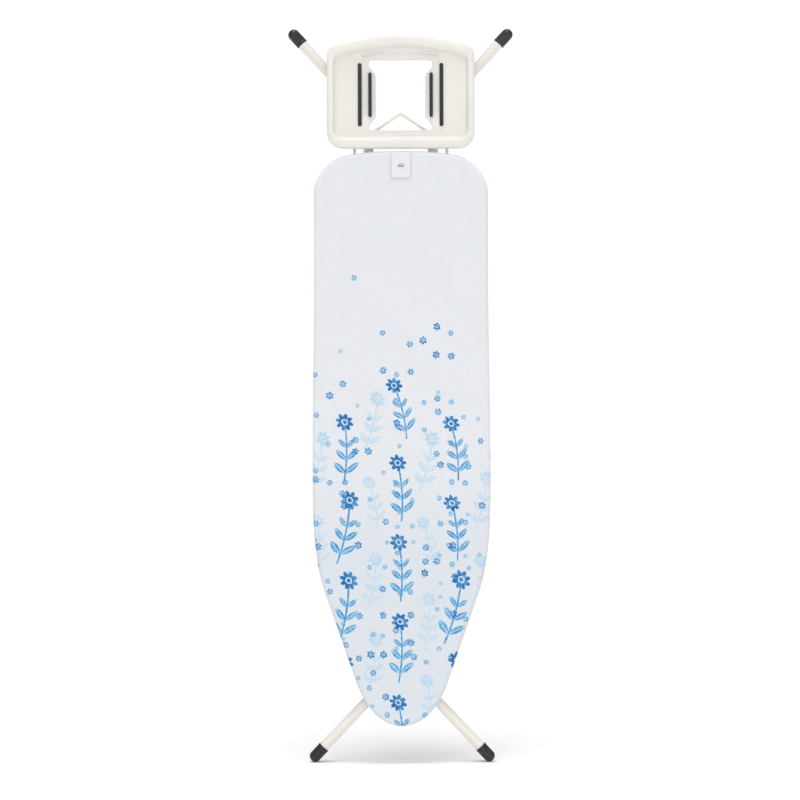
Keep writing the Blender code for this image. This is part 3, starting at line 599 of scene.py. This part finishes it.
def board_outline(count=OUTLINE_POINTS):
    """The whole outline as (x, z), counterclockwise, evenly spaced from the nose tip."""
    right = []
    for stretch in (NOSE, SHOULDER, FLANK, CORNER, TOP_EDGE):
        points = bezier(stretch)
        right += points if not right or (points[0] - right[-1]).length > 0.001 else points[1:]
    left = [Vector((-point.x, point.y)) for point in reversed(right[1:-1])]
    raised = [Vector((point.x, NOSE_Z + point.y)) for point in right + left]
    return resample(raised, count)


BOARD = board_outline()
SPINE = (NOSE_Z + 0.095, NOSE_Z + BOARD_LENGTH - 0.150)


def towards_spine(point, share):
    """A point moved part of the way to the board's middle line."""
    goal = Vector((0, min(max(point.y, SPINE[0]), SPINE[1])))
    return point.lerp(goal, share)


# ---- Soft goods ---------------------------------------------------------------------
EDGE_ROUND = 0.009
FOLD_DEPTH = 0.0018
HEM_ROLL = 0.0022


def ripple(point, scale, seed):
    """Smooth unevenness from -1 to 1 over the board."""
    return noise.noise(Vector((point[0] * scale + seed, point[1] * scale, seed)))


def cover_panel():
    """The printed face: slightly loose over the felt, rounded over the deck's edge."""
    rings = []
    for k in range(7):
        a = pi / 2 * k / 6
        distance = EDGE_ROUND * (1 - cos(a))
        depth = COVER_FRONT + EDGE_ROUND * (1 - sin(a))
        rings.append([at(p.x, depth, p.y) for p in inset(BOARD, distance)])
    face = inset(BOARD, EDGE_ROUND)
    steps = 34
    for k in range(1, steps + 1):
        share = k / steps
        ring = []
        for point in face:
            p = towards_spine(point, share)
            swell = 0.0007 * (1 - ripple(p, 9.0, 3.0)) * min(1.0, 6 * share)
            ring.append(at(p.x, COVER_FRONT + swell, p.y))
        rings.append(ring)
    piece = add_piece("cover_panel", *loft(rings), "cotton_cover", sharp=radians(180))
    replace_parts(piece, "ironing_cover")
    return piece


def cover_hem():
    """The cover's side and the hem behind the rim, drawn up into pleats."""
    count = 1400
    outline = resample(BOARD, count)
    rng = np.random.default_rng(4)
    phases = np.cumsum(0.62 + 0.5 * rng.random(count))
    phases *= 2 * pi * round(phases[-1] / (2 * pi)) / phases[-1]
    heights = 0.6 + 0.4 * np.sin(np.arange(count) * 0.11 + 1.0)
    side_back = COVER_BACK - 0.004
    profile = [(0, EDGE_ROUND + COVER_FRONT, 0), (0, side_back - 0.005, 0.05),
               (0.0006, side_back, 0.15)]
    for k in range(1, 5):
        a = pi / 2 * k / 4
        profile.append((0.0006 + 0.004 * (1 - cos(a)), side_back + 0.0028 * sin(a), 0.25 + 0.1 * k))
    for k in range(1, 6):
        profile.append((0.0046 + 0.0044 * k, side_back + 0.0028, 0.65 + 0.07 * k))
    hem_inset = profile[-1][0]
    for k in range(1, 7):
        a = 2 * pi * 0.75 * k / 6
        profile.append((hem_inset + HEM_ROLL * sin(a),
                        side_back + 0.0006 + HEM_ROLL * cos(a), 0.9))
    rings = []
    for distance, depth, share in profile:
        ring = []
        for i, p in enumerate(inset(outline, distance)):
            fold = sin(phases[i]) * heights[i] * share
            ring.append(at(p.x, depth + FOLD_DEPTH * fold, p.y))
        rings.append(ring)
    return add_piece("cover_hem", *loft(rings), "cotton_cover", finish="cotton_hem",
                     sharp=radians(180))


def felt_pad():
    """The felt layer, seen through the deck's openings."""
    low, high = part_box("foam_pad")
    front, back = low.y - FRONT_Y, high.y - FRONT_Y
    edge = BOARD_HALF - high.x
    profile = [(edge + 0.003, front), (edge + 0.0008, front + 0.0008), (edge, front + 0.0025),
               (edge, back - 0.0015), (edge + 0.001, back - 0.0003), (edge + 0.003, back)]
    rings = [[at(p.x, depth, p.y) for p in inset(BOARD, distance)]
             for distance, depth in profile]
    inner = [Vector((point.x, point.z)) for point in rings[0]]
    steps = 12
    for k in range(1, steps + 1):
        flat = [towards_spine(p, k / steps) for p in inner]
        rings.insert(0, [at(p.x, front + 0.0002 * ripple(p, 30.0, 1.0), p.y) for p in flat])
        rings.append([at(p.x, back - 0.0003 * abs(ripple(p, 60.0, 5.0)), p.y) for p in flat])
    piece = add_piece("felt_pad", *loft(rings), "foam", sharp=radians(180))
    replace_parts(piece, "foam_pad")
    return piece


def care_tag():
    """The woven tag at the square end, slightly lifted at its sides."""
    low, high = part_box("care_label")
    width, height = high.x - low.x, high.z - low.z
    centre = (low + high) / 2
    FINISHES["label"] = label_cloth("woven_tag", centre, width, height)
    columns, rows = 22, 30
    points, faces = [], []
    for row in range(rows + 1):
        for column in range(columns + 1):
            u, v = column / columns - 0.5, row / rows - 0.5
            lift = 0.00035 * noise.noise(Vector((u * 3, v * 3, 2.0))) + 0.0004 * (abs(u) * 2) ** 6
            bulge = 0.0009 * max(0.0, (v - 0.46) / 0.04)
            points.append(Vector((centre.x + u * width, low.y - 0.0001 - lift + bulge,
                                  centre.z + v * height)))
    for row in range(rows):
        for column in range(columns):
            a = row * (columns + 1) + column
            faces.append((a, a + 1, a + columns + 2, a + columns + 1))
    piece = add_piece("care_tag", points, faces, "label")
    thick = piece.modifiers.new("thickness", "SOLIDIFY")
    thick.thickness = 0.0004
    thick.offset = 0
    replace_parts(piece, "care_label")
    return piece


# ---- Deck ---------------------------------------------------------------------------
DIAMOND_WIDE, DIAMOND_TALL = 0.0250, 0.0125


def inside_board(x, z, outline):
    """Whether a point lies within a closed outline."""
    inside = False
    for a, b in zip(outline, outline[1:] + outline[:1]):
        if (a.y > z) != (b.y > z) and x < a.x + (b.x - a.x) * (z - a.y) / (b.y - a.y):
            inside = not inside
    return inside


def expanded_deck():
    """Expanded steel: long diamonds across the board, trimmed at the rim."""
    low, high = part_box("deck_sheet")
    y = (low.y + high.y) / 2
    coarse = board_outline(120)
    trim = inset(coarse, 0.0035)
    wide, tall = DIAMOND_WIDE, DIAMOND_TALL
    rows = int(BOARD_LENGTH / (tall / 2)) + 2
    points, faces, seen = [], [], {}
    trim_low = min(p.y for p in trim)
    trim_high = max(p.y for p in trim)
    right = sorted((p for p in trim if p.x >= -0.0001), key=lambda p: p.y)
    levels = [p.y for p in right]
    reaches = [max(p.x, 0.0) for p in right]

    def corner(x, z):
        """The number of a diamond's corner, kept within the rim."""
        key = (round(x, 5), round(z, 5))
        if key not in seen:
            limit = float(np.interp(z, levels, reaches))
            level = min(max(z, trim_low), trim_high)
            seen[key] = len(points)
            points.append(Vector((min(max(x, -limit), limit), y, level)))
        return seen[key]

    keep = inset(coarse, 0.006)
    for row in range(rows):
        z = NOSE_Z + row * tall / 2
        shift = wide / 2 if row % 2 else 0.0
        x = -BOARD_HALF - wide + shift
        while x < BOARD_HALF + wide:
            if inside_board(x, z, keep):
                faces.append((corner(x - wide / 2, z), corner(x, z - tall / 2),
                              corner(x + wide / 2, z), corner(x, z + tall / 2)))
            x += wide
    piece = add_piece("expanded_deck", points, faces, "deck_steel", sharp=radians(60))
    strands = piece.modifiers.new("strands", "WIREFRAME")
    strands.thickness = 0.0016
    strands.use_even_offset = False
    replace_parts(piece, "deck_sheet")
    return piece


# ---- Iron rest ----------------------------------------------------------------------
TRAY_HALF = TRAY_HIGH.x
TRAY_ARCH = 0.470
TRAY_TOP_CORNER = 0.026
TRAY_LOW_CORNER = 0.034
PAN_DEPTH = 0.012
TRAY_WALL = 0.0018
LEDGE_DEPTH = 0.0034
LEDGE_SIDE = 0.082
TOP_SHARE, LOW_SHARE, CORNER_SHARE = 1.70, 1.45, 0.75    # the rim is broader above and below
TRAY_POINTS = 288
WINDOW = {"wide": 0.068, "narrow": 0.053, "bottom": 1.367, "top": 1.518, "slope": 0.016,
          "steps": (1.386, 1.4946)}
TRAY_MIDDLE = (WINDOW["bottom"] + WINDOW["top"]) / 2


def tray_outline(distance):
    """Outline of the iron rest moved inwards."""
    side = TRAY_HALF - distance
    arch_z = TRAY_HIGH.z - TRAY_ARCH
    arch_radius = TRAY_ARCH - TOP_SHARE * distance
    high_radius = TRAY_TOP_CORNER - CORNER_SHARE * distance
    low_radius = TRAY_LOW_CORNER - distance
    corner_x = side - high_radius
    corner_z = arch_z + sqrt((arch_radius - high_radius) ** 2 - corner_x**2)
    arch_half = degrees(atan2(corner_z - arch_z, corner_x))
    low_x = side - low_radius
    low_z = TRAY_LOW.z + LOW_SHARE * distance + low_radius
    points = arc(low_x, low_z, low_radius, -90, 0, 20)
    points += arc(corner_x, corner_z, high_radius, 0, arch_half, 20)
    points += arc(0, arch_z, arch_radius, arch_half, 180 - arch_half, 40)[1:-1]
    points += arc(-corner_x, corner_z, high_radius, 180 - arch_half, 180, 20)
    points += arc(-low_x, low_z, low_radius, 180, 270, 20)
    return by_angle(points)


def by_angle(points):
    """The outline's points at even angles round the rest's middle."""
    closed = points + [points[0]]
    ring = []
    for k in range(TRAY_POINTS):
        a = 2 * pi * (k + 0.5) / TRAY_POINTS
        ray = Vector((cos(a), sin(a)))
        best = 0.0
        for p, q in zip(closed, closed[1:]):
            side = q - p
            start = Vector((p.x, p.y - TRAY_MIDDLE))
            cross = ray.x * side.y - ray.y * side.x
            if abs(cross) < 1e-12:
                continue
            far = (start.x * side.y - start.y * side.x) / cross
            share = (start.x * ray.y - start.y * ray.x) / cross
            if far > best and -1e-6 <= share <= 1 + 1e-6:
                best = far
        ring.append(Vector((ray.x * best, TRAY_MIDDLE + ray.y * best)))
    return ring


def rounded(corners, radii, steps=6):
    """A closed polygon with each corner turned into a small arc."""
    points = []
    count = len(corners)
    for i, (corner, radius) in enumerate(zip(corners, radii)):
        coming = (corner - corners[i - 1]).normalized()
        going = (corners[(i + 1) % count] - corner).normalized()
        turn = coming.angle_signed(going)
        setback = radius * abs(sin(turn / 2) / cos(turn / 2))
        centre = corner + (going - coming).normalized() * radius / cos(turn / 2)
        start = corner - coming * setback
        for k in range(steps + 1):
            points.append(centre + Matrix.Rotation(-turn * k / steps, 2) @ (start - centre))
    return points


def window_outline(grow):
    """The window: wide at both ends, with soft slopes to its narrow waist."""
    wide, narrow = WINDOW["wide"] + grow, WINDOW["narrow"] + grow
    half = WINDOW["slope"] / 2
    low, high = WINDOW["steps"]
    right = [(wide, WINDOW["bottom"] - grow), (wide, low - half), (narrow, low + half),
             (narrow, high - half), (wide, high + half), (wide, WINDOW["top"] + grow)]
    radii = [0.0055, 0.0090, 0.0120, 0.0120, 0.0090, 0.0055]
    corners = [Vector(p) for p in right] + [Vector((-x, z)) for x, z in reversed(right)]
    return by_angle(rounded(corners, radii + radii[::-1]))


def ledge_outline(grow):
    """Outer edge of the lowered ledge round the window's top and sides."""
    side, top = LEDGE_SIDE + grow, WINDOW["top"] + 0.0145 + grow
    bottom = WINDOW["bottom"] - 0.007
    corners = [Vector(p) for p in ((side, bottom), (side, top), (-side, top), (-side, bottom))]
    return by_angle(rounded(corners, [0.003, 0.007, 0.007, 0.003]))


def ledge_sink(z):
    """How far the ledge lies below the pan: it rises to the pan's level at the bottom."""
    share = min(max((z - 1.372) / 0.030, 0.0), 1.0)
    return LEDGE_DEPTH * share * share * (3 - 2 * share)


def tray():
    """The moulded rest: raised rim, groove, gently sunk pan and a lipped window."""
    profile = [
        (0.0003, 0.0198), (0, 0.0185), (0, 0.0070), (0.0004, 0.0045), (0.0014, 0.0025),
        (0.0030, 0.0010), (0.0050, 0.0003), (0.0072, 0), (0.0098, 0), (0.0118, 0.0003),
        (0.0133, 0.0011), (0.0144, 0.0026), (0.0151, 0.0045), (0.0156, 0.0080),
        (0.0162, 0.0104), (0.0172, 0.0119), (0.0186, 0.0124), (0.0204, 0.0122),
        (0.0222, PAN_DEPTH - 0.0002),
    ]
    rings = [[at(p.x, depth, p.y) for p in tray_outline(distance)] for distance, depth in profile]
    pan, ledge = tray_outline(profile[-1][0]), ledge_outline(0.0006)
    for k in range(1, 9):
        flat = [a.lerp(b, k / 8) for a, b in zip(pan, ledge)]
        rings.append([at(p.x, PAN_DEPTH, p.y) for p in flat])
    ledge_profile = ((0.0002, 0.08), (-0.0002, 0.30), (-0.0006, 0.70), (-0.0010, 0.94),
                     (-0.0016, 1.0))
    for grow, share in ledge_profile:
        rings.append([at(p.x, PAN_DEPTH + ledge_sink(p.y) * share, p.y)
                      for p in ledge_outline(grow)])
    inner, lip = ledge_outline(-0.0016), window_outline(0.0042)
    for k in range(1, 5):
        flat = [a.lerp(b, k / 4) for a, b in zip(inner, lip)]
        rings.append([at(p.x, PAN_DEPTH + ledge_sink(p.y), p.y) for p in flat])
    lip_profile = ((0.0034, -0.0003), (0.0024, -0.0008), (0.0014, -0.0009), (0.0006, -0.0004),
                   (0.0001, 0.0006), (0, 0.0020), (0, 0.0052))
    for grow, sink in lip_profile:
        rings.append([at(p.x, PAN_DEPTH + ledge_sink(p.y) + sink, p.y)
                      for p in window_outline(grow)])
    piece = add_piece("rest_tray", *loft(rings), "ivory_plastic", sharp=radians(60))
    thick = piece.modifiers.new("wall", "SOLIDIFY")
    thick.thickness = TRAY_WALL
    thick.offset = -1
    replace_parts(piece, "iron_rest_tray")
    return piece


def silicone_strips():
    """Four strips with round ends and domed tops."""
    for side in ("left", "right"):
        for place in ("outer", "inner"):
            node = f"silicone_strip_{place}_{side}"
            low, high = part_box(node)
            x, half_width = (low.x + high.x) / 2, (high.x - low.x) / 2 * 0.94
            middle_z = (low.z + high.z) / 2
            reach = (high.z - low.z) / 2 - half_width
            base, top = high.y - FRONT_Y, low.y - FRONT_Y
            if place == "inner":
                base += ledge_sink(middle_z)
            rings = []
            for share, height in ((1, 0), (1, 0.55), (0.95, 0.75), (0.82, 0.9), (0.6, 0.98),
                                  (0.3, 1.0), (0.02, 1.0)):
                radius = half_width * share
                outline = arc(x, middle_z + reach, radius, 0, 180, 12)
                outline += arc(x, middle_z - reach, radius, 180, 360, 12)
                depth = base + (top - base) * height
                rings.append([at(p.x, depth, p.y) for p in outline])
            piece = add_piece(f"strip_{place}_{side}", *loft(rings, capped=True), "silicone")
            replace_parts(piece, node)


BRACE_RISE = 0.667                      # slope of the chevron's two arms


def rest_wires():
    """The wire frame behind the rest, its chevron and the two welds between them."""
    low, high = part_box("rest_wire_frame")
    radius = (high.y - low.y) / 2 * 1.03
    x = high.x - radius
    corners = [(-x, low.z), (-x, high.z - radius), (x, high.z - radius), (x, low.z)]
    piece = add_piece("wire_frame", *wire(bent_path(corners, 0.025, WIRE_Y), radius),
                      "ivory_coat")
    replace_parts(piece, "rest_wire_frame")
    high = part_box("rest_wire_brace")[1]
    foot = x - radius
    apex = high.z - 0.0025
    corners = [(-foot, apex - BRACE_RISE * foot), (0, apex), (foot, apex - BRACE_RISE * foot)]
    piece = add_piece("wire_brace", *wire(bent_path(corners, 0.006, WIRE_Y), 0.003),
                      "ivory_coat")
    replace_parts(piece, "rest_wire_brace")
    for side in (-1, 1):
        weld = Vector((side * (foot + 0.0004), WIRE_Y, apex - BRACE_RISE * foot))
        profile = [(-0.0032, 0, 0), (-0.0026, 0.0024, 0), (-0.001, 0.0040, 0), (0.001, 0.0042, 0),
                   (0.0026, 0.0030, 0), (0.0032, 0, 0)]
        name = "weld_left" if side < 0 else "weld_right"
        add_piece(name, *turned(weld, Vector((side, 0, -BRACE_RISE)), profile, 20), "ivory_coat")


# ---- Legs ---------------------------------------------------------------------------
TUBE_RADIUS = 0.011
TUBE_WALL = 0.0012
CAP_DOME = 0.0125                       # radius of a cap's domed tip
CAP_MOUTH = -0.0275                     # where a cap begins, from its dome's middle
CROSS_OVERLAP = 0.007                   # how far a cross tube runs into each leg
LEGS = {
    "outer": {"x": 0.0684, "bend": 1.399, "radius": 0.258, "foot": 0.2310},
    "inner": {"x": 0.0440, "bend": 0.1650, "radius": 0.080, "foot": 0.1885},
}


def legs():
    """Both legs: two bent tubes each, their caps and the cross tube between them."""
    for kind, leg in LEGS.items():
        body = f"{kind}_leg"
        for side, side_name in ((-1, "left"), (1, "right")):
            node = f"{kind}_leg_tube_{side_name}"
            cap_node = f"{kind}_foot_cap_{side_name}"
            tube_low, tube_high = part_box(node)
            cap_low, cap_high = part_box(cap_node)
            top = kind == "outer"
            foot_z = cap_high.z - CAP_DOME if top else cap_low.z + CAP_DOME
            start_z = tube_low.z if top else tube_high.z
            foot = Vector((side * leg["foot"], foot_z))
            bend = Vector((side * leg["x"], leg["bend"]))
            path = bent_path([(bend.x, start_z), bend, foot], leg["radius"], LEG_Y, 32)
            piece = add_piece(f"{kind}_tube_{side_name}", *tube(path, TUBE_RADIUS, TUBE_WALL),
                              "ivory_coat", body)
            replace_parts(piece, node)
            foot_cap(f"{kind}_cap_{side_name}", bend, foot, cap_node, body)
        cross = f"{kind}_leg_cross_tube"
        low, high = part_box(cross)
        radius = (high.z - low.z) / 2
        ends = (low.x - CROSS_OVERLAP, high.x + CROSS_OVERLAP)
        path = [Vector((x, LEG_Y, (low.z + high.z) / 2)) for x in ends]
        piece = add_piece(f"{kind}_cross_tube", *tube(path, radius, TUBE_WALL), "ivory_coat", body)
        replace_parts(piece, cross)


def foot_cap(name, bend, foot, node, body):
    """A ribbed cap with a rolled mouth and a domed tip."""
    along = Vector((foot.x - bend.x, 0, foot.y - bend.y)).normalized()
    mouth = CAP_MOUTH
    bore = TUBE_RADIUS + 0.0001
    profile = [(0.0, 0, 0), (0.0, bore, 0), (mouth, bore, 0),
               (mouth - 0.0002, bore + 0.0007, 0), (mouth + 0.0004, 0.0126, 0),
               (mouth + 0.0014, 0.0130, 0), (mouth + 0.0034, 0.0130, 0),
               (mouth + 0.0044, 0.0126, 0), (mouth + 0.0052, 0.0126, 0.3),
               (mouth + 0.0070, 0.0127, 1.0), (-0.010, 0.0126, 1.0), (-0.002, 0.01255, 1.0),
               (0.0010, 0.01245, 0.5)]
    for k in range(1, 10):
        a = pi / 2 * k / 9
        profile.append((CAP_DOME * sin(a), CAP_DOME * cos(a), 0.35 if k == 1 else 0))
    start = Vector((foot.x, LEG_Y, foot.y))
    piece = add_piece(name, *turned(start, along, profile, 96, 16, 0.0007), "foot_plastic", body,
                      sharp=radians(35))
    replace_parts(piece, node)


# ---- Small CAD pieces, softened at their edges --------------------------------------
EDGE_SOFTNESS = 0.0004


def softened(node, slot):
    """A copy of a CAD piece with its edges slightly rounded."""
    source = frame["nodes"][node]
    shape = bmesh.new()
    shape.from_mesh(source.data)
    bmesh.ops.remove_doubles(shape, verts=shape.verts, dist=0.00001)
    bmesh.ops.dissolve_limit(shape, angle_limit=radians(1.0), verts=shape.verts,
                             edges=shape.edges)
    bmesh.ops.recalc_face_normals(shape, faces=shape.faces)
    mesh = bpy.data.meshes.new(f"{node}_soft")
    shape.to_mesh(mesh)
    shape.free()
    mesh.shade_smooth()
    mesh.set_sharp_from_angle(angle=radians(40))
    mesh.materials.clear()
    mesh.materials.append(FINISHES[slot])
    piece = bpy.data.objects.new(f"{node}_piece", mesh)
    bpy.context.scene.collection.objects.link(piece)
    bevel = piece.modifiers.new("edges", "BEVEL")
    bevel.width = EDGE_SOFTNESS
    bevel.segments = 2
    bevel.limit_method = "ANGLE"
    bevel.angle_limit = radians(40)
    bevel.harden_normals = True
    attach(piece, source["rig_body"])
    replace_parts(piece, node)


def small_pieces():
    """Everything that isn't remade above keeps its CAD shape."""
    slots = {part["node"]: part["material_slot"] for part in frame["record"]["subparts"]}
    replaced = {node for piece in bpy.data.objects for node in piece.get("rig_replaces", [])}
    for node, slot in slots.items():
        if node not in replaced:
            softened(node, slot)


# ---- Stage, light and camera --------------------------------------------------------
SURROUND_LIGHT = 0.48                   # what the surround gives the object
SURROUND_SHOWN = 1.05                   # how bright it looks
CAMERA_DISTANCE = 5.0
CAMERA_X, CAMERA_Z, CAMERA_ROLL = -0.0030, 0.7845, 0.0026
FRAME_HEIGHT = 1.7213                   # height that the picture takes in at the object


def stage():
    """A wide pale floor, matt and even."""
    bpy.ops.mesh.primitive_circle_add(vertices=96, radius=40, fill_type="NGON",
                                      location=(0, 0, -0.0005))
    floor = bpy.context.object
    floor.name = "studio_floor"
    graph = Graph("studio_paper")
    speck = graph.noise(3.0, 3.0)
    colour = graph.mix(0.03 * speck, (0.92, 0.92, 0.92), (0.90, 0.90, 0.91))
    floor.data.materials.append(graph.finish(Base_Color=colour, Roughness=0.9,
                                             Specular_IOR_Level=0.0, Emission_Strength=0.03,
                                             Emission_Color=(1.0, 1.0, 1.0, 1.0)))


def sun(name, aim, strength, softness):
    """A broad, even light that shines along a direction."""
    data = bpy.data.lights.new(name, "SUN")
    data.energy = strength
    data.angle = radians(softness)
    light = bpy.data.objects.new(name, data)
    light.rotation_euler = Vector(aim).to_track_quat("-Z", "Y").to_euler()
    bpy.context.scene.collection.objects.link(light)


def lights():
    """A pale surround that shows as white paper, and three broad lights."""
    world = bpy.data.worlds.new("studio")
    world.use_nodes = True
    tree = world.node_tree
    background = tree.nodes["Background"]
    background.inputs["Color"].default_value = (1, 1, 1, 1)
    path = tree.nodes.new("ShaderNodeLightPath")
    level = tree.nodes.new("ShaderNodeMapRange")
    level.inputs["To Min"].default_value = SURROUND_LIGHT
    level.inputs["To Max"].default_value = SURROUND_SHOWN
    tree.links.new(path.outputs["Is Camera Ray"], level.inputs["Value"])
    tree.links.new(level.outputs[0], background.inputs["Strength"])
    bpy.context.scene.world = world
    sun("front_light", (0.20, 1.0, -1.15), 0.80, 60)
    sun("fill_light", (-0.30, 1.0, -0.10), 0.49, 35)
    sun("top_light", (0.0, 0.12, -1.0), 1.40, 26)


def camera():
    """Square to the board, at half of its height."""
    data = bpy.data.cameras.new("camera")
    data.sensor_width = 36
    data.lens = data.sensor_width * CAMERA_DISTANCE / FRAME_HEIGHT
    view = bpy.data.objects.new("camera", data)
    view.location = (CAMERA_X, cad_bounds[0].y - CAMERA_DISTANCE, CAMERA_Z)
    view.rotation_euler = (pi / 2, CAMERA_ROLL, 0)
    bpy.context.scene.collection.objects.link(view)
    bpy.context.scene.camera = view
    bpy.context.scene.view_settings.view_transform = "Standard"
    bpy.context.scene.view_settings.look = "None"


# ---- Build --------------------------------------------------------------------------
camera()
lights()
stage()
panel = cover_panel()
hem = cover_hem()
felt_pad()
care_tag()
expanded_deck()
tray()
silicone_strips()
rest_wires()
legs()
small_pieces()
